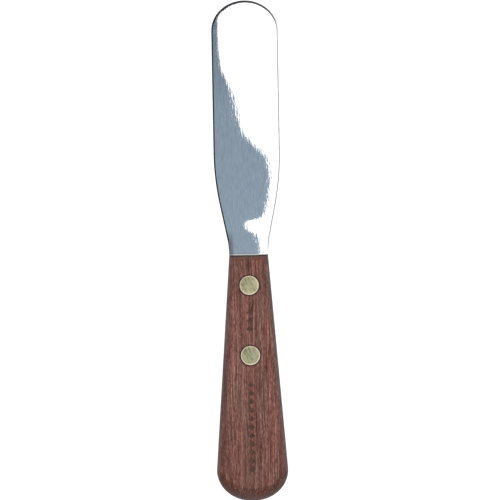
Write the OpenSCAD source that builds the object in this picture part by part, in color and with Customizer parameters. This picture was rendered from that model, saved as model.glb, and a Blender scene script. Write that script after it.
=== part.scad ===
// Palette knife: a thin, round-ended steel blade whose half tang is riveted into a saw-slotted
// hardwood handle by two compression rivets, each a sleeve and a pin driven together.
// The knife lies flat on its handle. Y runs from the butt to the blade's tip, Z is up, z = 0 is the
// handle's back face, and the origin is under the middle of the knife. Sizes are in millimetres.

/* [Blade] */
// Length of the blade outside the handle
blade_len = 97.5; // [75:0.5:130]
// Width of the blade's parallel part
blade_w = 25.4; // [20:0.2:34]
// Length of the rounded tip
tip_len = 11.5; // [8:0.5:20]
// Steepest angle of the narrowing towards the handle, in degrees
taper_angle = 11.4; // [8:0.1:16]
// Radius of the shoulder, where the narrowing starts
shoulder_r = 100; // [40:5:140]
// Radius of the neck, where the narrowing meets the handle
neck_r = 34; // [15:1:60]
// Thickness of the blade in front of the handle
blade_t = 1.1; // [0.8:0.05:1.3]
// Thickness of the blade at its tip
tip_t = 0.65; // [0.55:0.05:0.9]
// Width of the bevel along the blade's sides
bevel_w = 0.55; // [0.3:0.05:0.9]
// Width of the bevel at the middle of the tip
tip_bevel_w = 0.9; // [0.3:0.05:1.2]
// Depth of the bevel on each face
bevel_depth = 0.2; // [0.1:0.01:0.24]

/* [Tang] */
// Thickness of the tang
tang_t = 1.25; // [1:0.05:1.8]
// Length of the tang past the rear rivet
tang_past_rivet = 9.7; // [6:0.1:14]
// Radius of the tang's rear corners
tang_corner_r = 1.5; // [0.5:0.5:4]
// Length of full-thickness steel that shows in front of the handle
heel_len = 0.2; // [0.1:0.1:1]
// Length of the step where the ground face meets the heel
heel_step = 0.4; // [0.2:0.1:1.5]
// Width and depth of the broken edge round the tang
tang_edge = 0.12; // [0.05:0.01:0.2]

/* [Handle] */
// Length of the handle
handle_len = 93.5; // [80:0.5:125]
// Thickness of the handle
handle_t = 12.7; // [11.5:0.1:16]
// Width of the handle at its front end, and of the blade's neck
handle_front_w = 14.8; // [13:0.1:18]
// Greatest width of the handle, near the butt
handle_butt_w = 27.1; // [22:0.1:34]
// Length of the rounded butt
butt_len = 12; // [8:0.1:16]
// Rounding of the handle's long edges
side_round = 2.8; // [1:0.1:3.4]
// Rounding of the front end's edges
front_round = 2.1; // [0.5:0.1:3.4]
// Rounding of the butt's edges
butt_round = 5.2; // [2:0.1:5.5]
// Radius of the front end's two upright corners
front_corner_r = 0.6; // [0.3:0.1:1.5]

/* [Saw slot] */
// Radius of the saw that cuts the slot
saw_r = 60; // [45:5:120]
// Gap between the tang and each wall of the slot
slot_gap = 0.03; // [0.01:0.01:0.1]
// Gap between the tang's end and the end of the slot
slot_end_gap = 1; // [0.5:0.1:3]

/* [Rivets] */
// Distance from the front end to the front rivet
front_rivet_at = 11.2; // [9:0.1:14]
// Distance between the two rivets
rivet_pitch = 26.6; // [18:0.1:34]
// Diameter of the rivet heads
rivet_head_d = 7.5; // [6:0.1:9]
// Thickness of the rivet heads
rivet_head_t = 1.6; // [1.2:0.1:2.2]
// Width of the bevel round each head's outer face
rivet_head_bevel = 0.25; // [0.1:0.05:0.4]
// Diameter of the sleeve
sleeve_d = 4.8; // [4:0.1:5.4]
// Diameter of the pin, and of the sleeve's bore that grips it
pin_d = 3.2; // [2.4:0.1:3.6]
// Gap between the sleeve's end and the pin's head
sleeve_end_gap = 0.6; // [0.3:0.1:1]
// Gap between the pin's end and the end of the sleeve's bore
pin_end_gap = 0.8; // [0.4:0.1:1.5]
// Gap round the rivet heads in the handle
head_gap = 0.12; // [0.05:0.01:0.2]
// Gap round the sleeve in the handle and the tang
sleeve_gap = 0.1; // [0.05:0.01:0.2]

/* [Hidden] */
$fn = 64;
cut = 1; // how far a cutting solid runs past the face that it cuts

mid_z = handle_t / 2; // height of the blade's middle plane
front_y = (handle_len - blade_len) / 2; // the handle's front end, with the whole knife centred on y = 0
rear_rivet_at = front_rivet_at + rivet_pitch;
tang_len = rear_rivet_at + tang_past_rivet;

// ---- The handle's sides. Here s is the distance from the handle's front end towards the butt.
neck_half = handle_front_w / 2;
butt_half = handle_butt_w / 2;
butt_s = handle_len - butt_len; // centre of the butt's ellipse
// The straight side is tangent to the ellipse. Stretched by this factor, the ellipse is a circle.
butt_stretch = butt_half / butt_len;
to_corner = [neck_half, -butt_s * butt_stretch];
tangent_angle = atan2(to_corner[1], to_corner[0]) + acos(butt_half / norm(to_corner));
tangent_s = butt_s + butt_len * sin(tangent_angle);
side_slope = (butt_half * cos(tangent_angle) - neck_half) / tangent_s;

function side_x(s) = neck_half + side_slope * s;

// ---- The blade's sides. Here d is the distance from the handle's front end towards the tip.
blade_half = blade_w / 2;
side_step = blade_half - neck_half;
// The neck and shoulder arcs share the step with a straight, which a shallow step leaves out.
taper_a = min(taper_angle, acos(1 - side_step / (neck_r + shoulder_r)));
neck_end_d = neck_r * sin(taper_a);
taper_run = (side_step - (neck_r + shoulder_r) * (1 - cos(taper_a))) / tan(taper_a);
shoulder_d = neck_end_d + taper_run + shoulder_r * sin(taper_a);
tip_d = blade_len - tip_len;

// ---- The slot, whose round bottom is deepest in the middle
slot_t = tang_t + 2 * slot_gap;
tang_end_half = side_x(tang_len);
slot_sag = saw_r - sqrt(saw_r * saw_r - tang_end_half * tang_end_half);
slot_depth = tang_len + slot_end_gap + slot_sag;

function steps(from, to, n) = [for (i = [0:n]) from + (to - from) * i / n];

function blend(a, b, t) = a + (b - a) * t;

// A ring is given by its right half, from the rear middle point to the front middle point. The left
// half mirrors it, so a ring has 2 * half - 2 points.
function whole_ring(half) =
    concat(half, [for (i = [len(half) - 2:-1:1]) [-half[i][0], half[i][1], half[i][2]]]);

// Three faces that close a ring of n points round its middle point m
function end_fan(m, n) = [for (f = [[0, 1, 2], [0, 2, -2], [0, -2, -1]]) [for (i = f) (m + n + i) % n]];

// Faces from the right half to the left one that close a ring from below
function ring_cover(half) =
    let (n = 2 * half - 2)
    concat(
        end_fan(0, n),
        [for (i = [2:half - 4]) each [[i, i + 1, n - i - 1], [i, n - i - 1, n - i]]],
        end_fan(half - 1, n)
    );

// A closed solid of rings stacked from the bottom up
module ring_solid(halves) {
    half = len(halves[0]);
    n = 2 * half - 2;
    top = (len(halves) - 1) * n;
    points = [for (h = halves) each whole_ring(h)];
    walls = [
        for (low = [0:n:top - n], i = [0:n - 1])
            let (j = (i + 1) % n, high = low + n)
            each [[low + i, high + i, high + j], [low + i, high + j, low + j]]
    ];
    base = ring_cover(half);
    lid = [for (f = base) [for (i = [2:-1:0]) f[i] + top]];
    polyhedron(points, concat(walls, base, lid));
}

// ---- Blade
// The right half of the outline, from the middle of the tang's end to the middle of the tip
function tang_outline() =
    let (r = tang_corner_r, x = side_x(tang_len - r))
    concat(
        [[0, -tang_len]],
        [for (a = steps(-90, 0, 6)) [x - r + r * cos(a), r - tang_len + r * sin(a)]],
        [[neck_half, 0]]
    );

// The neck's arc has a point at each end of the heel's step.
function neck_outline() = [
    for (d = concat([heel_len], steps(heel_len + heel_step, neck_end_d, 5)))
        [neck_half + neck_r - sqrt(neck_r * neck_r - d * d), d]
];

function shoulder_outline() = [
    for (a = steps(taper_a, 0, 10))
        if (a < taper_a || taper_run > 0.01)
            [blade_half - shoulder_r * (1 - cos(a)), shoulder_d - shoulder_r * sin(a)]
];

function tip_outline() =
    [for (a = steps(0, 90, 24)) [blade_half * cos(a), tip_d + tip_len * sin(a)]];

blade_outline = concat(tang_outline(), neck_outline(), shoulder_outline(), tip_outline());

// The outline's outward direction at point i, square to the line between its neighbours
function outward(i) =
    let (last = len(blade_outline) - 1)
    i == 0 ? [0, -1]
        : i == last ? [0, 1]
        : let (along = blade_outline[i + 1] - blade_outline[i - 1]) [along[1], -along[0]] / norm(along);

// The steel keeps the tang's thickness through the heel, steps down, and then thins to the tip.
function thickness(d) =
    let (ground_d = heel_len + heel_step)
    d <= heel_len ? tang_t
        : d <= ground_d ? blend(tang_t, blade_t, (d - heel_len) / heel_step)
        : blend(blade_t, tip_t, (d - ground_d) / (blade_len - ground_d));

// How far the edge has changed from the tang's broken edge to the blade's bevel
function bevel_share(d) = max(0, min(1, d / neck_end_d));

// The bevel widens round the tip.
function edge_width(d) =
    d > tip_d ? blend(bevel_w, tip_bevel_w, (d - tip_d) / tip_len)
        : blend(tang_edge, bevel_w, bevel_share(d));

// Half a ring of the blade: its outer edge, or the rim of the flat face inside the bevel
function blade_half_ring(up, flat) = [
    for (i = [0:len(blade_outline) - 1])
        let (
            edge = blade_outline[i],
            p = edge - (flat ? edge_width(edge[1]) : 0) * outward(i),
            depth = flat ? 0 : blend(tang_edge, bevel_depth, bevel_share(edge[1]))
        )
        [p[0], front_y + p[1], mid_z + up * (thickness(p[1]) / 2 - depth)]
];

module blade() {
    color("silver")
        difference() {
            ring_solid([
                blade_half_ring(-1, true),
                blade_half_ring(-1, false),
                blade_half_ring(1, false),
                blade_half_ring(1, true),
            ]);
            at_rivets()
                sleeve_hole();
        }
}

// ---- Handle
// Half a ring round the handle. The edge turns from the upright side at 0 degrees to the flat face
// at 90, and each part of the outline has its own rounding.
function handle_half_ring(turn, up) =
    let (
        inset = 1 - cos(turn),
        side_in = side_round * inset,
        front_s = front_round * inset,
        corner_s = front_s + front_corner_r,
        corner_x = side_x(corner_s) - side_in - front_corner_r,
        outline = concat(
            [for (a = steps(90, tangent_angle, 24)) [
                (butt_half - side_in) * cos(a),
                butt_s + (butt_len - butt_round * inset) * sin(a),
                blend(side_round, butt_round, pow(max(0, sin(a)), 2)),
            ]],
            [for (a = steps(0, 90, 4)) [
                corner_x + front_corner_r * cos(a),
                corner_s - front_corner_r * sin(a),
                blend(side_round, front_round, pow(sin(a), 2)),
            ]],
            [[0, front_s, front_round]]
        )
    )
    [for (p = outline) [p[0], front_y - p[1], mid_z + up * (mid_z - p[2] * (1 - sin(turn)))]];

module handle_blank() {
    turns = steps(0, 90, 6);
    ring_solid(concat(
        [for (i = [len(turns) - 1:-1:0]) handle_half_ring(turns[i], -1)],
        [for (turn = turns) handle_half_ring(turn, 1)]
    ));
}

module saw_slot() {
    translate([0, front_y - slot_depth + saw_r, mid_z - slot_t / 2])
        cylinder(h = slot_t, r = saw_r, $fn = 180);
}

module handle() {
    color([0.46, 0.31, 0.28])
        difference() {
            handle_blank();
            saw_slot();
            at_rivets() {
                sleeve_hole();
                head_holes();
            }
        }
}

// ---- Rivets
module at_rivet(distance) {
    translate([0, front_y - distance, 0])
        children();
}

module at_rivets() {
    for (distance = [front_rivet_at, rear_rivet_at])
        at_rivet(distance)
            children();
}

module sleeve_hole() {
    translate([0, 0, -cut])
        cylinder(h = handle_t + 2 * cut, d = sleeve_d + 2 * sleeve_gap);
}

module head_holes() {
    for (z = [-cut, handle_t - rivet_head_t])
        translate([0, 0, z])
            cylinder(h = rivet_head_t + cut, d = rivet_head_d + 2 * head_gap);
}

// A rivet head with its outer face down, at z = 0
module rivet_head() {
    r = rivet_head_d / 2;
    rotate_extrude()
        polygon([
            [0, 0],
            [r - rivet_head_bevel, 0],
            [r, rivet_head_bevel],
            [r, rivet_head_t],
            [0, rivet_head_t],
        ]);
}

// Both rivet pieces end at the inner face of the sleeve's head.
inner_face_z = handle_t - rivet_head_t;
sleeve_start_z = rivet_head_t + sleeve_end_gap;

module rivet_pin(distance) {
    color("darkkhaki")
        at_rivet(distance) {
            rivet_head();
            translate([0, 0, rivet_head_t])
                cylinder(h = inner_face_z - pin_end_gap - rivet_head_t, d = pin_d);
        }
}

module rivet_sleeve(distance) {
    color("darkkhaki")
        at_rivet(distance) {
            translate([0, 0, handle_t])
                mirror([0, 0, 1])
                    rivet_head();
            translate([0, 0, sleeve_start_z])
                difference() {
                    cylinder(h = inner_face_z - sleeve_start_z, d = sleeve_d);
                    translate([0, 0, -cut])
                        cylinder(h = inner_face_z - sleeve_start_z + cut, d = pin_d);
                }
        }
}

blade();
handle();
rivet_sleeve(front_rivet_at);  // front_rivet_sleeve
rivet_pin(front_rivet_at);  // front_rivet_pin
rivet_sleeve(rear_rivet_at);  // rear_rivet_sleeve
rivet_pin(rear_rivet_at);  // rear_rivet_pin
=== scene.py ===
"""Looks for the palette knife: steel blade, rosewood handle and brass rivets around the CAD frame.

The knife lies on its handle along Y, with the tip of the blade towards +Y and Z up. Sizes are in
metres, and those written here in millimetres are multiplied by MM.
"""
import math

import bpy
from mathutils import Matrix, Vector


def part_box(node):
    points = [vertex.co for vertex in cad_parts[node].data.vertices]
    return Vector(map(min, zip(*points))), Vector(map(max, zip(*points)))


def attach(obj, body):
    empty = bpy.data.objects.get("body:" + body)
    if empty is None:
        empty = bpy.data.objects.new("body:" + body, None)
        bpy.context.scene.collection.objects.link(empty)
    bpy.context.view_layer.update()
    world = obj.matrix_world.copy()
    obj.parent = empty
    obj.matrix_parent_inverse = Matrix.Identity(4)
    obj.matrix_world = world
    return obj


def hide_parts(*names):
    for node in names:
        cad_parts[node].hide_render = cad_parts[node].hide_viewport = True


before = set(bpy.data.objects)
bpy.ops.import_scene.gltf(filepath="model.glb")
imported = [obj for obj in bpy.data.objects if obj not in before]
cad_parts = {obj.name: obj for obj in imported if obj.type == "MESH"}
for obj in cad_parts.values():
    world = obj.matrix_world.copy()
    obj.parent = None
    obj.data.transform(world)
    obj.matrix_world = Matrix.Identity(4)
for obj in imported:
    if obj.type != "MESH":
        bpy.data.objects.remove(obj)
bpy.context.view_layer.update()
MM = 0.001

# ---- Sizes and places from the frame
BLADE_LO, BLADE_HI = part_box("blade")
HANDLE_LO, HANDLE_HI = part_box("handle")
HANDLE_T = HANDLE_HI.z - HANDLE_LO.z
MID_Z = (HANDLE_LO.z + HANDLE_HI.z) / 2
FRONT_Y = HANDLE_HI.y
HANDLE_LEN = HANDLE_HI.y - HANDLE_LO.y
BUTT_HALF = HANDLE_HI.x
BLADE_LEN = BLADE_HI.y - FRONT_Y
BLADE_HALF = BLADE_HI.x
TANG_LEN = FRONT_Y - BLADE_LO.y
TANG_T = BLADE_HI.z - BLADE_LO.z
HEAD_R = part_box("front_rivet_pin")[1].x
RIVETS = {name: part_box(name + "_rivet_pin") for name in ("front", "rear")}
RIVET_Y = {name: (lo.y + hi.y) / 2 for name, (lo, hi) in RIVETS.items()}

# ---- Sizes that the frame's boxes don't show, as in the part's source
NECK_HALF = 7.4 * MM
TIP_LEN = 11.5 * MM
TAPER_ANGLE = math.radians(11.4)
SHOULDER_R = 100 * MM
NECK_R = 34 * MM
BLADE_T = 1.1 * MM
TIP_T = 0.65 * MM
BEVEL_W = 0.55 * MM
TIP_BEVEL_W = 0.9 * MM
BEVEL_DEPTH = 0.2 * MM
TANG_CORNER_R = 1.5 * MM
HEEL_LEN = 0.2 * MM
HEEL_STEP = 0.4 * MM
TANG_EDGE = 0.12 * MM
BUTT_LEN = 12 * MM
SIDE_ROUND = 2.8 * MM
FRONT_ROUND = 2.1 * MM
BUTT_ROUND = 5.2 * MM
FRONT_CORNER_R = 0.6 * MM
SAW_R = 60 * MM
SLOT_GAP = 0.03 * MM
SLOT_END_GAP = 1 * MM
HEAD_T = 1.6 * MM
HEAD_BEVEL = 0.25 * MM
SLEEVE_R = 2.4 * MM
PIN_R = 1.6 * MM
HEAD_GAP = 0.12 * MM
SLEEVE_GAP = 0.1 * MM

# ---- Rows of small pressed lozenges: start and end behind the handle's front, and how many
ORNAMENT_ROWS = [(21.5 * MM, 27.9 * MM, 3), (49 * MM, 81 * MM, 11)]
LOZENGE_DEPTH = 0.25 * MM
LOZENGE_HALF_W = 1.6 * MM
LOZENGE_HALF_L = 1.2 * MM

# ---- Camera: straight above the knife, which lies a little turned in the picture
LENS = 135
SENSOR = 36
VIEW_SIZE = 191 * MM  # what the picture spans at the height of the blade
CAMERA_H = VIEW_SIZE * LENS / SENSOR  # above the blade
CAMERA_XY = Vector((0.56 * MM, 0.15 * MM))
CAMERA_ROLL = math.radians(1.066)

# ---- Studio, in metres
CARD_H = 0.45  # height of the reflected cards above the blade
CARD_FRONT, CARD_BACK = -0.1, 0.2  # where the grey and the white card start and end along Y
GREY_LEFT, GREY_BACK_RIGHT = -0.12, -0.03
WHITE_HALF_W = 0.19
ARCH_INNER, ARCH_OUTER = 0.25, 0.5  # half the width of the dark arch's opening, and of all of it
ARCH_FEET, ARCH_TOP = -0.25, 0.22  # where its legs end, and where its opening does
SOFTBOX_SIZE = 1.4
SOFTBOX_X = 0.15
SOFTBOX_H = 0.9
FLOOR_HALF = 3
X, Y = 0, 1  # the axes along which a card's glow changes


def steps(start, stop, count):
    return [start + (stop - start) * i / count for i in range(count + 1)]


def blend(a, b, t):
    return a + (b - a) * t


# ---------------------------------------------------------------- meshes
def new_piece(name, verts, faces):
    mesh = bpy.data.meshes.new(name)
    mesh.from_pydata(verts, [], faces)
    mesh.update()
    piece = bpy.data.objects.new(name, mesh)
    bpy.context.scene.collection.objects.link(piece)
    return piece


def ring_piece(name, halves):
    """A closed solid of rings stacked from the bottom up. Each ring is given by its right half, from
    its rear middle point to its front one, and its left half mirrors that. The lids at the top and
    bottom are strips from left to right, and the end strips take in the middle points."""
    half = len(halves[0])
    n = 2 * half - 2
    verts = []
    for ring in halves:
        verts += ring + [(-x, y, z) for x, y, z in ring[-2:0:-1]]
    faces = []
    for low in range(0, n * (len(halves) - 1), n):
        for i in range(n):
            j = (i + 1) % n
            faces.append((low + i, low + j, low + n + j, low + n + i))
    lid = [(n - 2, n - 1, 0, 1, 2)]
    lid += [(n - i, i, i + 1, n - i - 1) for i in range(2, half - 3)]
    lid.append(tuple(range(half - 3, half + 2)))
    top = n * (len(halves) - 1)
    faces += [tuple(top + i for i in face) for face in lid]
    faces += [tuple(reversed(face)) for face in lid]
    return new_piece(name, verts, faces)


def lathe_piece(name, profile, y, segments=96):
    """A solid of revolution about a vertical axis. The profile's (radius, height) points run from the
    axis at the bottom to the axis at the top, without the two points on the axis."""
    verts = []
    for r, z in profile:
        for k in range(segments):
            a = 2 * math.pi * k / segments
            verts.append((r * math.cos(a), y + r * math.sin(a), z))
    faces = [tuple(reversed(range(segments)))]
    for row in range(len(profile) - 1):
        low = row * segments
        for k in range(segments):
            m = (k + 1) % segments
            faces.append((low + k, low + m, low + segments + m, low + segments + k))
    top = (len(profile) - 1) * segments
    faces.append(tuple(range(top, top + segments)))
    return new_piece(name, verts, faces)


def carve(piece, cutters):
    """Cuts the cutters out of a piece and deletes them."""
    for cutter in cutters:
        boolean = piece.modifiers.new("cut", "BOOLEAN")
        boolean.operation = "DIFFERENCE"
        boolean.solver = "EXACT"
        boolean.object = cutter
    graph = bpy.context.evaluated_depsgraph_get()
    mesh = bpy.data.meshes.new_from_object(piece.evaluated_get(graph))
    piece.modifiers.clear()
    piece.data = mesh
    for cutter in cutters:
        bpy.data.objects.remove(cutter)


def shade(piece, sharp_degrees):
    piece.data.polygons.foreach_set("use_smooth", [True] * len(piece.data.polygons))
    piece.data.set_sharp_from_angle(angle=math.radians(sharp_degrees))


# ---------------------------------------------------------------- outlines
def handle_sides():
    """The straight side is tangent to the butt's ellipse: the angle there, and the side's slope."""
    stretch = BUTT_HALF / BUTT_LEN
    butt_s = HANDLE_LEN - BUTT_LEN
    corner = (NECK_HALF, -butt_s * stretch)
    angle = math.atan2(corner[1], corner[0]) + math.acos(BUTT_HALF / math.hypot(*corner))
    tangent_s = butt_s + BUTT_LEN * math.sin(angle)
    return angle, (BUTT_HALF * math.cos(angle) - NECK_HALF) / tangent_s


TANGENT_ANGLE, SIDE_SLOPE = handle_sides()


def side_x(s):
    """Half the handle's width at a distance s behind its front end."""
    return NECK_HALF + SIDE_SLOPE * s


def blade_outline():
    """The right half of the blade, as (x, distance ahead of the handle's front end)."""
    r = TANG_CORNER_R
    x = side_x(TANG_LEN - r)
    points = [(0, -TANG_LEN)]
    for a in steps(-math.pi / 2, 0, 8):
        points.append((x - r + r * math.cos(a), r - TANG_LEN + r * math.sin(a)))
    points.append((NECK_HALF, 0))
    neck_end = NECK_R * math.sin(TAPER_ANGLE)
    for d in [HEEL_LEN] + steps(HEEL_LEN + HEEL_STEP, neck_end, 12):
        points.append((NECK_HALF + NECK_R - math.sqrt(NECK_R**2 - d**2), d))
    rise = BLADE_HALF - NECK_HALF - (NECK_R + SHOULDER_R) * (1 - math.cos(TAPER_ANGLE))
    shoulder_d = neck_end + rise / math.tan(TAPER_ANGLE) + SHOULDER_R * math.sin(TAPER_ANGLE)
    for a in steps(TAPER_ANGLE, 0, 24):
        points.append((BLADE_HALF - SHOULDER_R * (1 - math.cos(a)), shoulder_d - SHOULDER_R * math.sin(a)))
    for a in steps(0, math.pi / 2, 64):
        points.append((BLADE_HALF * math.cos(a), BLADE_LEN - TIP_LEN + TIP_LEN * math.sin(a)))
    return points


def outward(points, i):
    """The outline's outward direction at point i."""
    if i in (0, len(points) - 1):
        return (0, -1 if i == 0 else 1)
    (x0, y0), (x1, y1) = points[i - 1], points[i + 1]
    length = math.hypot(x1 - x0, y1 - y0)
    return ((y1 - y0) / length, (x0 - x1) / length)


def thickness(d):
    """The steel's thickness at a distance d ahead of the handle's front end."""
    ground = HEEL_LEN + HEEL_STEP
    if d <= HEEL_LEN:
        return TANG_T
    if d <= ground:
        return blend(TANG_T, BLADE_T, (d - HEEL_LEN) / HEEL_STEP)
    return blend(BLADE_T, TIP_T, (d - ground) / (BLADE_LEN - ground))


def blade_half_ring(up, inset_share, extra=0.0):
    """Half a ring of the blade's upper face (up is 1) or its lower one (-1): the outer edge at an
    inset share of 0, and the bevel's rim at 1. What is extra moves the ring further in."""
    points = blade_outline()
    neck_end = NECK_R * math.sin(TAPER_ANGLE)
    ring = []
    for i, (x, d) in enumerate(points):
        share = max(0, min(1, d / neck_end))
        tip_share = max(0, (d - BLADE_LEN + TIP_LEN) / TIP_LEN)
        width = blend(blend(TANG_EDGE, BEVEL_W, share), TIP_BEVEL_W, tip_share) * inset_share + extra
        nx, ny = outward(points, i)
        px, pd = x - width * nx, d - width * ny
        depth = blend(TANG_EDGE, BEVEL_DEPTH, share) * (1 - inset_share)
        ring.append((max(px, 0), FRONT_Y + pd, MID_Z + up * (thickness(pd) / 2 - depth)))
    return ring


def handle_half_ring(turn, up, extra=0.0):
    """Half a ring of the handle's upper edge (up is 1) or its lower one (-1), which turns from upright
    at 0 to flat at a quarter turn. What is extra moves the ring further in."""
    inset = 1 - math.cos(turn)
    side_in = SIDE_ROUND * inset + extra
    butt_in = BUTT_ROUND * inset + extra
    front_s = FRONT_ROUND * inset + extra
    corner_s = front_s + FRONT_CORNER_R
    corner_x = side_x(corner_s) - side_in - FRONT_CORNER_R
    outline = []
    for a in steps(math.pi / 2, TANGENT_ANGLE, 72):
        s = HANDLE_LEN - BUTT_LEN + (BUTT_LEN - butt_in) * math.sin(a)
        rounding = blend(SIDE_ROUND, BUTT_ROUND, max(0, math.sin(a)) ** 2)
        outline.append(((BUTT_HALF - side_in) * math.cos(a), s, rounding))
    for a in steps(0, math.pi / 2, 8):
        x = corner_x + FRONT_CORNER_R * math.cos(a)
        rounding = blend(SIDE_ROUND, FRONT_ROUND, math.sin(a) ** 2)
        outline.append((x, corner_s - FRONT_CORNER_R * math.sin(a), rounding))
    outline.append((0, front_s, FRONT_ROUND))
    return [
        (max(x, 0), FRONT_Y - s, MID_Z + up * (HANDLE_T / 2 - rounding * (1 - math.sin(turn))))
        for x, s, rounding in outline
    ]


# ---------------------------------------------------------------- pieces
def make_blade():
    rim_width = 0.06 * MM  # a narrow band that keeps the faces' shading flat up to the bevel
    blade = ring_piece("blade_steel", [
        blade_half_ring(-1, 1, rim_width),
        blade_half_ring(-1, 1),
        blade_half_ring(-1, 0),
        blade_half_ring(1, 0),
        blade_half_ring(1, 1),
        blade_half_ring(1, 1, rim_width),
    ])
    hole_r = SLEEVE_R + SLEEVE_GAP
    profile = [(hole_r, MID_Z - TANG_T), (hole_r, MID_Z + TANG_T)]
    carve(blade, [lathe_piece("hole", profile, y) for y in RIVET_Y.values()])
    shade(blade, 3)
    return blade


def slot_cutter():
    """The saw's disc, whose rim is the round end of the slot."""
    end_half = side_x(TANG_LEN)
    sag = SAW_R - math.sqrt(SAW_R**2 - end_half**2)
    depth = TANG_LEN + SLOT_END_GAP + sag
    half_t = TANG_T / 2 + SLOT_GAP
    profile = [(SAW_R, MID_Z - half_t), (SAW_R, MID_Z + half_t)]
    return lathe_piece("slot", profile, FRONT_Y - depth + SAW_R, segments=360)


def rivet_hole_cutter(y):
    head, shank, over = HEAD_R + HEAD_GAP, SLEEVE_R + SLEEVE_GAP, 1 * MM
    low, high = HANDLE_LO.z, HANDLE_HI.z
    return lathe_piece("rivet_hole", [
        (head, low - over),
        (head, low + HEAD_T),
        (shank, low + HEAD_T),
        (shank, high - HEAD_T),
        (head, high - HEAD_T),
        (head, high + over),
    ], y)


def lozenge_cutter():
    """Small lozenges pressed into the upper face, along its middle. Each is the tip of an upside-down
    pyramid that starts a little above the face."""
    over = 0.05 * MM
    top, bottom = HANDLE_HI.z + over, HANDLE_HI.z - LOZENGE_DEPTH
    widen = 1 + over / LOZENGE_DEPTH
    half_w, half_l = LOZENGE_HALF_W * widen, LOZENGE_HALF_L * widen
    verts, faces = [], []
    for start, end, count in ORNAMENT_ROWS:
        for s in steps(start, end, count - 1):
            y, k = FRONT_Y - s, len(verts)
            verts += [(half_w, y, top), (0, y + half_l, top), (-half_w, y, top), (0, y - half_l, top)]
            verts.append((0, y, bottom))
            faces.append((k, k + 1, k + 2, k + 3))
            faces += [(k + (i + 1) % 4, k + i, k + 4) for i in range(4)]
    return new_piece("lozenges", verts, faces)


def make_handle():
    turns = steps(0, math.pi / 2, 12)
    rim_width = 0.3 * MM
    lower = [handle_half_ring(turn, -1) for turn in reversed(turns)]
    upper = [handle_half_ring(turn, 1) for turn in turns]
    lower.insert(0, handle_half_ring(turns[-1], -1, rim_width))
    upper.append(handle_half_ring(turns[-1], 1, rim_width))
    handle = ring_piece("handle_rosewood", lower + upper)
    holes = [rivet_hole_cutter(y) for y in RIVET_Y.values()]
    carve(handle, [slot_cutter(), lozenge_cutter()] + holes)
    shade(handle, 30)
    return handle


def head_profile(low):
    """A rivet head with its outer face down. Its edge is rubbed round."""
    profile = []
    for a in steps(0, math.pi / 2, 6):
        profile.append((HEAD_R - HEAD_BEVEL * (1 - math.sin(a)), low + HEAD_BEVEL * (1 - math.cos(a))))
    return profile + [(HEAD_R, low + HEAD_T)]


def make_pin(name):
    lo, hi = RIVETS[name]
    tip_bevel = 0.15 * MM
    profile = head_profile(lo.z)
    profile += [(PIN_R, lo.z + HEAD_T), (PIN_R, hi.z - tip_bevel), (PIN_R - tip_bevel, hi.z)]
    return lathe_piece(name + "_rivet_pin_brass", profile, RIVET_Y[name])


def make_sleeve(name):
    """The head is up, and the bore runs from the open lower end to the head's inner face."""
    lo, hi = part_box(name + "_rivet_sleeve")
    inner = hi.z - HEAD_T
    profile = [(r, hi.z + HANDLE_LO.z - z) for r, z in head_profile(HANDLE_LO.z)]
    profile = [(PIN_R, inner), (PIN_R, lo.z), (SLEEVE_R, lo.z), (SLEEVE_R, inner)] + profile[::-1]
    return lathe_piece(name + "_rivet_sleeve_brass", profile, RIVET_Y[name])


# ---------------------------------------------------------------- materials
def add(tree, kind, inputs=None, **settings):
    """Adds a node. Its inputs are constants or other nodes' outputs."""
    node = tree.nodes.new(kind)
    for key, value in settings.items():
        setattr(node, key, value)
    for key, value in (inputs or {}).items():
        if isinstance(value, bpy.types.NodeSocket):
            tree.links.new(value, node.inputs[key])
        else:
            node.inputs[key].default_value = value
    return node


def new_material(name):
    material = bpy.data.materials.new(name)
    material.use_nodes = True
    tree = material.node_tree
    tree.nodes.clear()
    shader = add(tree, "ShaderNodeBsdfPrincipled")
    output = add(tree, "ShaderNodeOutputMaterial")
    tree.links.new(shader.outputs[0], output.inputs[0])
    position = add(tree, "ShaderNodeTexCoord").outputs["Object"]
    return material, tree, shader, position


def noise(tree, position, per_metre, detail=2.0, roughness=0.5, distortion=0.0):
    """Noise whose grain is per_metre features along X, Y and Z."""
    scaled = add(tree, "ShaderNodeVectorMath", {0: position, 1: per_metre}, operation="MULTIPLY")
    texture = add(tree, "ShaderNodeTexNoise", {
        "Vector": scaled.outputs[0],
        "Scale": 1.0,
        "Detail": detail,
        "Roughness": roughness,
        "Distortion": distortion,
    })
    return texture.outputs[0]


def ramp(tree, value, stops):
    """Maps a value through (place, colour) stops, where a colour may be one grey number."""
    node = add(tree, "ShaderNodeValToRGB", {0: value})
    elements = node.color_ramp.elements
    while len(elements) < len(stops):
        elements.new(0.5)
    for element, (place, colour) in zip(elements, stops):
        element.position = place
        element.color = (*colour, 1) if isinstance(colour, tuple) else (colour, colour, colour, 1)
    return node.outputs[0]


def mix(tree, factor, a, b, how="MIX"):
    node = add(tree, "ShaderNodeMix", data_type="RGBA", blend_type=how)
    for socket, value in zip((node.inputs[0], node.inputs[6], node.inputs[7]), (factor, a, b)):
        if isinstance(value, bpy.types.NodeSocket):
            tree.links.new(value, socket)
        elif isinstance(value, tuple):
            socket.default_value = (*value, 1)
        else:
            socket.default_value = value
    return node.outputs[2]


def calc(tree, how, a, b=0.0, c=0.0):
    return add(tree, "ShaderNodeMath", {0: a, 1: b, 2: c}, operation=how).outputs[0]


def bump(tree, height, distance, normal=None):
    inputs = {"Height": height, "Distance": distance, "Strength": 1.0}
    if normal is not None:
        inputs["Normal"] = normal
    return add(tree, "ShaderNodeBump", inputs).outputs[0]


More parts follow.
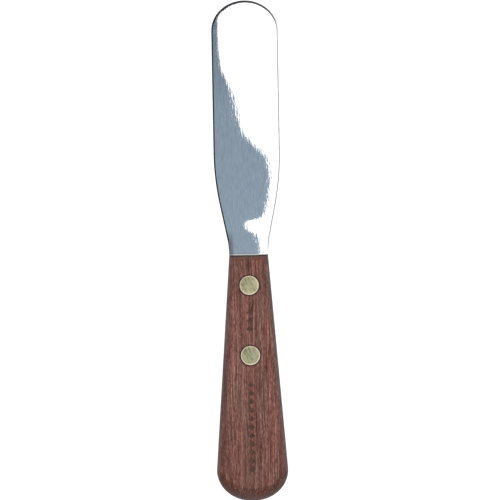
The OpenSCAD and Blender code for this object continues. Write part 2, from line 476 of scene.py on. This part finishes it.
def steel_material():
    material, tree, shader, position = new_material("brushed_blade_steel")
    lines = noise(tree, position, (2900, 300, 2900), 3, 0.6)
    grooves = noise(tree, position, (1800, 380, 1800), 2, 0.5)
    broad = noise(tree, position, (300, 16, 300), 2)
    place = add(tree, "ShaderNodeSeparateXYZ", {0: position})
    tint = ramp(tree, lines, [(0.25, (0.66, 0.68, 0.70)), (0.75, (0.97, 0.97, 0.97))])
    # The tang is dull, and a painted shadow darkens the steel in the corner at the handle, as a thicker
    # line on the right.
    shadow_start, shadow_len, neck_len, blade_span = FRONT_Y - 1 * MM, 3 * MM, 10 * MM, 100 * MM
    ahead = calc(tree, "DIVIDE", calc(tree, "SUBTRACT", place.outputs[1], shadow_start), shadow_len)
    aside = calc(tree, "DIVIDE", place.outputs[0], NECK_HALF)
    tang_end = [(0.0, (0.42, 0.38, 0.33)), (0.24, (0.08, 0.06, 0.05))]
    thin = ramp(tree, ahead, tang_end + [
        (0.335, (0.010, 0.006, 0.004)),
        (0.365, (0.25, 0.235, 0.22)),
        (0.467, (0.31, 0.295, 0.28)),
        (0.583, (0.70, 0.68, 0.66)),
        (0.667, (1.0, 1.0, 1.0)),
    ])
    thick = ramp(tree, ahead, tang_end + [
        (0.335, (0.008, 0.004, 0.003)),
        (0.45, (0.010, 0.006, 0.004)),
        (0.51, (1.0, 1.0, 1.0)),
    ])
    painted_shadow = mix(tree, ramp(tree, aside, [(0.42, 0.0), (0.56, 1.0)]), thin, thick)
    tint = mix(tree, 1.0, tint, painted_shadow, "MULTIPLY")
    # A painted dark reflection runs up the neck's left edge.
    up_neck = ramp(tree, calc(tree, "DIVIDE", place.outputs[1], neck_len), [(0.3, 1.0), (0.8, 0.0)])
    at_edge = ramp(tree, calc(tree, "MULTIPLY", aside, -1.0), [(0.74, 0.0), (0.84, 0.8), (1.0, 1.0)])
    band = calc(tree, "MULTIPLY", up_neck, at_edge)
    tint = mix(tree, band, tint, (0.50, 0.49, 0.47), "MULTIPLY")
    # The bevel, which is steeper than the heel's step, is darkened as a painted dark reflection, and the
    # upright edge walls a little.
    facing = add(tree, "ShaderNodeSeparateXYZ", {0: add(tree, "ShaderNodeNewGeometry").outputs["Normal"]})
    level = calc(tree, "ABSOLUTE", facing.outputs[2])
    ground = ramp(tree, level, [(0.5, 0.8), (0.9, 0.3), (0.978, 0.3), (0.981, 1.0)])
    tint = mix(tree, 1.0, tint, ground, "MULTIPLY")
    tree.links.new(tint, shader.inputs["Base Color"])
    gloss = ramp(tree, lines, [(0.3, 0.01), (0.75, 0.03)])
    tree.links.new(gloss, shader.inputs["Roughness"])
    # The brushing is deepest in the middle of the blade and polished out towards the tip.
    along = calc(tree, "DIVIDE", place.outputs[1], blade_span)
    brushed = ramp(tree, along, [(0.24, 0.7), (0.36, 1.0), (0.56, 1.0), (0.74, 0.12)])
    height = calc(tree, "MULTIPLY", grooves, brushed)
    waves = bump(tree, broad, 0.002 * MM)
    tree.links.new(bump(tree, height, 0.0028 * MM, waves), shader.inputs["Normal"])
    shader.inputs["Metallic"].default_value = 1.0
    return material


def from_rivets(tree, position):
    """The distance from the nearer rivet's axis."""
    place = add(tree, "ShaderNodeSeparateXYZ", {0: position})
    nearest = None
    for y in RIVET_Y.values():
        spot = add(tree, "ShaderNodeCombineXYZ", {0: 0.0, 1: y, 2: place.outputs[2]})
        away = add(tree, "ShaderNodeVectorMath", {0: position, 1: spot.outputs[0]}, operation="DISTANCE")
        away = away.outputs["Value"]
        nearest = away if nearest is None else calc(tree, "MINIMUM", nearest, away)
    return nearest


def ring_share(tree, distance, radius, reach):
    """1 at a radius, falling to 0 at a reach to either side of it."""
    off = calc(tree, "ABSOLUTE", calc(tree, "SUBTRACT", distance, radius))
    return calc(tree, "MAXIMUM", calc(tree, "SUBTRACT", 1.0, calc(tree, "DIVIDE", off, reach)), 0.0)


def pressed_grime_and_shade(tree, position):
    """How much of the grime and painted shade in the pressed lozenges shows: 0 outside them, and most at
    the bottom.
    """
    place = add(tree, "ShaderNodeSeparateXYZ", {0: position})
    depth = calc(tree, "DIVIDE", calc(tree, "SUBTRACT", HANDLE_HI.z, place.outputs[2]), 2 * LOZENGE_DEPTH)
    aside = calc(tree, "DIVIDE", calc(tree, "ABSOLUTE", place.outputs[0]), 2 * LOZENGE_HALF_W)
    along = calc(tree, "DIVIDE", calc(tree, "SUBTRACT", FRONT_Y, place.outputs[1]), HANDLE_LEN)
    below = ramp(tree, depth, [(0.0, 0.0), (0.06, 0.5), (0.5, 0.7), (0.52, 0.0)])
    beside = ramp(tree, aside, [(0.50, 1.0), (0.52, 0.0)])
    within = ramp(tree, along, [(0.18, 0.0), (0.20, 1.0), (0.90, 1.0), (0.92, 0.0)])
    return calc(tree, "MULTIPLY", calc(tree, "MULTIPLY", below, beside), within)


def rosewood_material():
    material, tree, shader, position = new_material("rosewood")
    sway = 3.5 * MM  # how far the grain wanders to the side
    warp = noise(tree, position, (90, 26, 90), 3)
    shift = add(tree, "ShaderNodeCombineXYZ", {0: calc(tree, "MULTIPLY", warp, sway)})
    bent = add(tree, "ShaderNodeVectorMath", {0: position, 1: shift.outputs[0]}, operation="ADD").outputs[0]
    bands = noise(tree, bent, (380, 12, 300), 3, 0.55)
    streaks = noise(tree, bent, (3900, 48, 3900), 3, 0.55, 0.7)
    threads = noise(tree, bent, (4200, 760, 4200), 2, 0.6)
    pores = noise(tree, bent, (3200, 130, 3200), 1, 0.4)
    hue = noise(tree, bent, (420, 26, 420), 2)

    body = ramp(tree, bands, [
        (0.28, (0.092, 0.035, 0.027)),
        (0.45, (0.130, 0.051, 0.039)),
        (0.60, (0.158, 0.064, 0.049)),
        (0.76, (0.112, 0.050, 0.039)),
    ])
    reddish = ramp(tree, hue, [(0.40, (0.94, 1.0, 1.01)), (0.62, (1.09, 0.97, 0.95))])
    body = mix(tree, 1.0, body, reddish, "MULTIPLY")
    long_light = ramp(tree, streaks, [
        (0.30, (0.34, 0.20, 0.18)),
        (0.50, (0.95, 0.93, 0.92)),
        (0.70, (1.75, 2.30, 2.40)),
    ])
    body = mix(tree, 1.0, body, long_light, "MULTIPLY")
    short_light = ramp(tree, threads, [
        (0.30, (0.50, 0.35, 0.33)),
        (0.50, (1.0, 1.0, 1.0)),
        (0.70, (1.55, 1.95, 2.05)),
    ])
    body = mix(tree, 0.9, body, short_light, "MULTIPLY")
    open_pores = ramp(tree, pores, [(0.30, 1.0), (0.38, 0.0)])
    body = mix(tree, calc(tree, "MULTIPLY", open_pores, 0.7), body, (0.040, 0.013, 0.010))

    # The butt's rounding is darker, partly from its end grain and partly as painted shade. The flat of the
    # front end is darker still, partly from its end grain and partly as a painted shadow where the wood
    # meets the steel, and this dark reaches further up on the left. The other roundings are a little darker
    # too.
    facing = add(tree, "ShaderNodeSeparateXYZ", {0: add(tree, "ShaderNodeNewGeometry").outputs["Normal"]})
    place = add(tree, "ShaderNodeSeparateXYZ", {0: position})
    # Partly end grain and partly painted shade on the butt's rounding.
    butt = ramp(tree, calc(tree, "MULTIPLY", facing.outputs[1], -1.0), [
        (0.01, (1.0, 1.0, 1.0)),
        (0.05, (0.66, 0.60, 0.54)),
        (0.85, (0.62, 0.55, 0.51)),
        (1.0, (0.50, 0.42, 0.40)),
    ])
    body = mix(tree, 1.0, body, butt, "MULTIPLY")
    side = ramp(tree, calc(tree, "ABSOLUTE", facing.outputs[0]), [(0.02, 1.0), (0.14, 0.90)])
    body = mix(tree, 1.0, body, side, "MULTIPLY")
    front_edge = ramp(tree, facing.outputs[1], [(0.07, (1.0, 1.0, 1.0)), (0.14, (0.94, 0.90, 0.88))])
    body = mix(tree, 1.0, body, front_edge, "MULTIPLY")
    # A painted grey sheen lies on every rounded edge.
    level = calc(tree, "ABSOLUTE", facing.outputs[2])
    painted_edge_sheen = ramp(tree, level, [(0.0, 0.10), (0.12, 0.12), (0.30, 0.34), (0.75, 0.17), (0.97, 0.0)])
    body = mix(tree, painted_edge_sheen, body, (0.13, 0.14, 0.15))
    # The front end's flat goes nearly black: partly end grain, partly a painted shadow where the wood meets
    # the steel.
    left = calc(tree, "DIVIDE", place.outputs[0], -NECK_HALF)
    to_front = calc(tree, "MULTIPLY_ADD", left, 0.07, facing.outputs[1])
    front = ramp(tree, to_front, [(0.70, 0.0), (0.97, 0.9)])
    body = mix(tree, front, body, (0.028, 0.010, 0.008))
    # Grime and painted shade darken the bottoms of the pressed lozenges.
    body = mix(tree, pressed_grime_and_shade(tree, position), body, (0.030, 0.011, 0.009))
    # Painted shade: a dark ring in the wood around each rivet head, at the gap between brass and wood.
    gap_shade_reach = 0.45 * MM
    rings = ring_share(tree, from_rivets(tree, position), HEAD_R + HEAD_GAP, gap_shade_reach)
    gap_shade = calc(tree, "MULTIPLY", rings, 0.9)
    body = mix(tree, gap_shade, body, (0.012, 0.008, 0.007))
    tree.links.new(body, shader.inputs["Base Color"])

    gloss = ramp(tree, streaks, [(0.3, 0.5), (0.7, 0.38)])
    tree.links.new(gloss, shader.inputs["Roughness"])
    shader.inputs["Specular IOR Level"].default_value = 0.12
    relief = calc(tree, "SUBTRACT", calc(tree, "MULTIPLY", threads, 0.25), open_pores)
    tree.links.new(bump(tree, relief, 0.03 * MM), shader.inputs["Normal"])
    return material


def brass_material():
    material, tree, shader, position = new_material("tarnished_brass")
    blotch = noise(tree, position, (700, 700, 700), 4, 0.6)
    scratch_turn = math.radians(-28)
    turned = add(tree, "ShaderNodeVectorRotate", {"Vector": position, "Angle": scratch_turn})
    scratch = noise(tree, turned.outputs[0], (2700, 280, 900), 3, 0.65)
    colour = ramp(tree, blotch, [(0.35, (0.228, 0.207, 0.128)), (0.65, (0.272, 0.247, 0.158))])
    scuff = ramp(tree, scratch, [(0.35, 0.45), (0.65, 1.6)])
    colour = mix(tree, 0.7, colour, scuff, "MULTIPLY")
    # The rear rivet is the duller and greener one.
    rear, front = RIVET_Y["rear"], RIVET_Y["front"]
    place = add(tree, "ShaderNodeSeparateXYZ", {0: position})
    forward = calc(tree, "DIVIDE", calc(tree, "SUBTRACT", place.outputs[1], rear), front - rear)
    dull = ramp(tree, forward, [(0.3, (0.74, 0.80, 0.82)), (0.7, (1.0, 1.0, 1.0))])
    colour = mix(tree, 1.0, colour, dull, "MULTIPLY")
    # The rims of the heads are painted paler, a painted highlight along their rounding.
    out = calc(tree, "DIVIDE", from_rivets(tree, position), HEAD_R)
    rim = ramp(tree, out, [(0.83, 0.0), (0.89, 1.0)])
    colour = mix(tree, rim, colour, (0.46, 0.375, 0.275))
    tree.links.new(colour, shader.inputs["Base Color"])
    gloss = ramp(tree, blotch, [(0.35, 0.42), (0.7, 0.3)])
    tree.links.new(gloss, shader.inputs["Roughness"])
    tree.links.new(bump(tree, scratch, 0.008 * MM), shader.inputs["Normal"])
    shader.inputs["Metallic"].default_value = 1.0
    return material


# ---------------------------------------------------------------- studio
def glow_material(name, axis, start, end, stops, strength=1.0, fade=None):
    """Plain glow whose colour changes along an axis from start to end. A fade's stops, in metres from
    the middle, turn it into the room's light towards the card's far edges."""
    room_light = (0.42, 0.425, 0.43)
    material = bpy.data.materials.new(name)
    material.use_nodes = True
    tree = material.node_tree
    tree.nodes.clear()
    position = add(tree, "ShaderNodeTexCoord").outputs["Object"]
    place = add(tree, "ShaderNodeSeparateXYZ", {0: position}).outputs
    share = calc(tree, "DIVIDE", calc(tree, "SUBTRACT", place[axis], start), end - start)
    colour = ramp(tree, share, stops)
    if fade:
        away = calc(tree, "MAXIMUM", calc(tree, "ABSOLUTE", place[0]), place[1])
        colour = mix(tree, ramp(tree, away, fade), colour, room_light)
    glow = add(tree, "ShaderNodeEmission", {"Color": colour, "Strength": strength})
    output = add(tree, "ShaderNodeOutputMaterial")
    tree.links.new(glow.outputs[0], output.inputs[0])
    return material


def make_floor():
    """A white sheet that glows, so that it stays white in the shade of the knife. Seen from below,
    it is clear."""
    half = FLOOR_HALF
    corners = [(-half, -half, 0), (half, -half, 0), (half, half, 0), (-half, half, 0)]
    floor = new_piece("floor", corners, [(0, 1, 2, 3)])
    material, tree, shader, _ = new_material("floor_white")
    under = add(tree, "ShaderNodeNewGeometry").outputs["Backfacing"]
    clear = add(tree, "ShaderNodeMixShader", {0: under, 1: shader.outputs[0]})
    tree.links.new(add(tree, "ShaderNodeBsdfTransparent").outputs[0], clear.inputs[2])
    tree.links.new(clear.outputs[0], tree.nodes["Material Output"].inputs[0])
    shader.inputs["Base Color"].default_value = (0.5, 0.5, 0.5, 1)
    shader.inputs["Roughness"].default_value = 0.8
    shader.inputs["Specular IOR Level"].default_value = 0.0
    shader.inputs["Emission Color"].default_value = (1, 1, 1, 1)
    shader.inputs["Emission Strength"].default_value = 0.75
    floor.data.materials.append(material)
    floor.visible_diffuse = False
    floor.visible_glossy = False
    floor.visible_shadow = False


def smooth_curve(points, parts=6):
    """A Catmull-Rom curve through the points."""
    curve = []
    ends = [points[0]] + points + [points[-1]]
    for p0, p1, p2, p3 in zip(ends, ends[1:], ends[2:], ends[3:]):
        for t in (k / parts for k in range(parts)):
            curve.append(tuple(
                0.5 * (2 * b + (c - a) * t + (2 * a - 5 * b + 4 * c - d) * t**2
                       + (3 * b - a - 3 * c + d) * t**3)
                for a, b, c, d in zip(p0, p1, p2, p3)
            ))
    return curve + [points[-1]]


def seen_in_blade(x, y):
    """Where the camera's line of sight, mirrored at a point (x, y) of the blade's upper face, meets
    the cards' level."""
    spread = 1 + CARD_H / CAMERA_H
    tilt = (BLADE_T - TIP_T) / 2 / BLADE_LEN
    px = CAMERA_XY.x + (x - CAMERA_XY.x) * spread
    py = CAMERA_XY.y + (y - CAMERA_XY.y) * spread + 2 * tilt * CARD_H
    return px, py


def make_card(name, outline, material, rise=0.0):
    """A flat card overhead that shows only in reflections."""
    z = MID_Z + CARD_H + rise
    card = new_piece(name, [(x, y, z) for x, y in outline], [tuple(range(len(outline)))])
    card.data.materials.append(material)
    card.visible_camera = False
    card.visible_diffuse = False
    card.visible_shadow = False


def make_cards():
    """The grey card's edge is the curve between grey and white that shows on the blade, and the dark
    arch shows in the bevel, where it fades round the tip to the right."""
    edge = [
        (-8.8, 97), (-10.2, 88), (-10.1, 78), (-9.0, 69.5), (-5.6, 62), (-3.6, 55), (-1.7, 46.5),
        (3.0, 40.5), (7.4, 36), (8.9, 31.5), (9.0, 26), (7.7, 18), (6.2, 13.2), (3.0, 11.7),
        (0.2, 11.3), (-0.7, 9.8), (0.1, 8.0), (2.4, 6.5), (3.9, 4.9), (4.4, 1.7), (4.8, -3),
    ]
    wave = smooth_curve([seen_in_blade(x * MM, y * MM) for x, y in edge])
    grey = [(GREY_LEFT, CARD_FRONT), (GREY_LEFT, CARD_BACK), (GREY_BACK_RIGHT, CARD_BACK)] + wave
    grey_glow = glow_material("grey_glow", Y, start=0.02, end=0.16, stops=[
        (0.0, (0.32, 0.40, 0.48)),
        (0.5, (0.28, 0.355, 0.435)),
        (0.8, (0.20, 0.25, 0.31)),
        (1.0, (0.17, 0.21, 0.26)),
    ])
    make_card("grey_card", grey, grey_glow)
    arch = [
        (-ARCH_OUTER, ARCH_FEET), (-ARCH_INNER, ARCH_FEET), (-ARCH_INNER, ARCH_TOP),
        (ARCH_INNER, ARCH_TOP), (ARCH_INNER, ARCH_FEET), (ARCH_OUTER, ARCH_FEET),
        (ARCH_OUTER, ARCH_OUTER), (-ARCH_OUTER, ARCH_OUTER),
    ]
    arch_glow = glow_material("arch_glow", X, start=-0.19, end=0.4, stops=[
        (0.0, (0.058, 0.062, 0.068)),
        (0.32, (0.092, 0.095, 0.103)),
        (0.60, (0.20, 0.205, 0.213)),
        (0.80, (0.50, 0.508, 0.516)),
        (0.93, (0.94, 0.95, 0.96)),
    ], strength=2.0, fade=[(0.41, 0.0), (0.49, 1.0)])
    make_card("dark_arch", arch, arch_glow)
    # The tip's left shoulder reflects a little of the dark beside its bevel.
    corner = [
        (-14, 85.9), (-12.0, 85.9), (-10.6, 88.4), (-8.3, 91.2), (-5.0, 93.4), (-1.1, 94.6), (3, 95.3),
        (3, 99), (-14, 99),
    ]
    corner = [seen_in_blade(x * MM, y * MM) for x, y in corner]
    corner_stops = [(0.0, 0.10), (0.6, 0.13), (1.0, 0.3)]
    corner_glow = glow_material("corner_glow", X, start=-0.02, end=0.0, stops=corner_stops)
    make_card("corner_card", corner, corner_glow, rise=-2 * MM)
    half_w = WHITE_HALF_W
    white = [(-half_w, CARD_FRONT), (half_w, CARD_FRONT), (half_w, CARD_BACK), (-half_w, CARD_BACK)]
    white_glow = glow_material("white_glow", X, -half_w, half_w, [(0.0, 1.0), (1.0, 1.0)], strength=2.0)
    make_card("white_card", white, white_glow, rise=10 * MM)


def make_softbox(name, height, turn, energy, mirrored=True):
    light = bpy.data.lights.new(name, "AREA")
    light.shape = "RECTANGLE"
    light.size = SOFTBOX_SIZE
    light.size_y = SOFTBOX_SIZE
    light.energy = energy
    softbox = bpy.data.objects.new(name, light)
    softbox.location = (SOFTBOX_X, 0, height)
    softbox.rotation_euler = (turn, 0, 0)
    softbox.visible_camera = False
    softbox.visible_glossy = mirrored
    bpy.context.scene.collection.objects.link(softbox)


def make_lights():
    world = bpy.data.worlds.new("studio")
    world.use_nodes = True
    tree = world.node_tree
    way = add(tree, "ShaderNodeTexCoord").outputs["Generated"]
    up = add(tree, "ShaderNodeSeparateXYZ", {0: way}).outputs[2]
    # Reflections see walls that are darkest at the knife's height, and the camera sees plain white.
    share = calc(tree, "MULTIPLY_ADD", up, 0.5, 0.5)
    walls = ramp(tree, share, [(0.0, 0.85), (0.45, 0.45), (0.5, 0.42), (0.75, 0.62), (1.0, 1.0)])
    ray = add(tree, "ShaderNodeLightPath").outputs
    even = calc(tree, "MULTIPLY_ADD", ray["Is Camera Ray"], 0.2, 0.8)
    strength = mix(tree, ray["Is Glossy Ray"], even, walls)
    glow = tree.nodes["Background"]
    glow.inputs["Color"].default_value = (1, 1, 1, 1)
    tree.links.new(strength, glow.inputs["Strength"])
    bpy.context.scene.world = world
    make_softbox("softbox", SOFTBOX_H, turn=0, energy=7.5)
    # The light that a white floor throws back.
    make_softbox("bounce", -SOFTBOX_H, turn=math.pi, energy=5, mirrored=False)


def make_camera():
    data = bpy.data.cameras.new("camera")
    data.lens = LENS
    data.sensor_width = SENSOR
    data.clip_start = 0.01
    camera = bpy.data.objects.new("camera", data)
    camera.location = (*CAMERA_XY, MID_Z + CAMERA_H)
    camera.rotation_euler = (0, 0, -CAMERA_ROLL)
    bpy.context.scene.collection.objects.link(camera)
    bpy.context.scene.camera = camera


def set_out(piece, material, slot, *nodes):
    piece.data.materials.clear()
    piece.data.materials.append(material)
    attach(piece, "root")
    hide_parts(*nodes)


def make_knife():
    steel, rosewood, brass = steel_material(), rosewood_material(), brass_material()
    set_out(make_blade(), steel, "steel", "blade")
    set_out(make_handle(), rosewood, "rosewood", "handle")
    for name in RIVETS:
        for piece, node in ((make_pin(name), "_rivet_pin"), (make_sleeve(name), "_rivet_sleeve")):
            shade(piece, 35)
            set_out(piece, brass, "brass", name + node)


make_camera()
make_knife()
make_floor()
make_cards()
make_lights()
bpy.context.scene.view_settings.view_transform = "Standard"
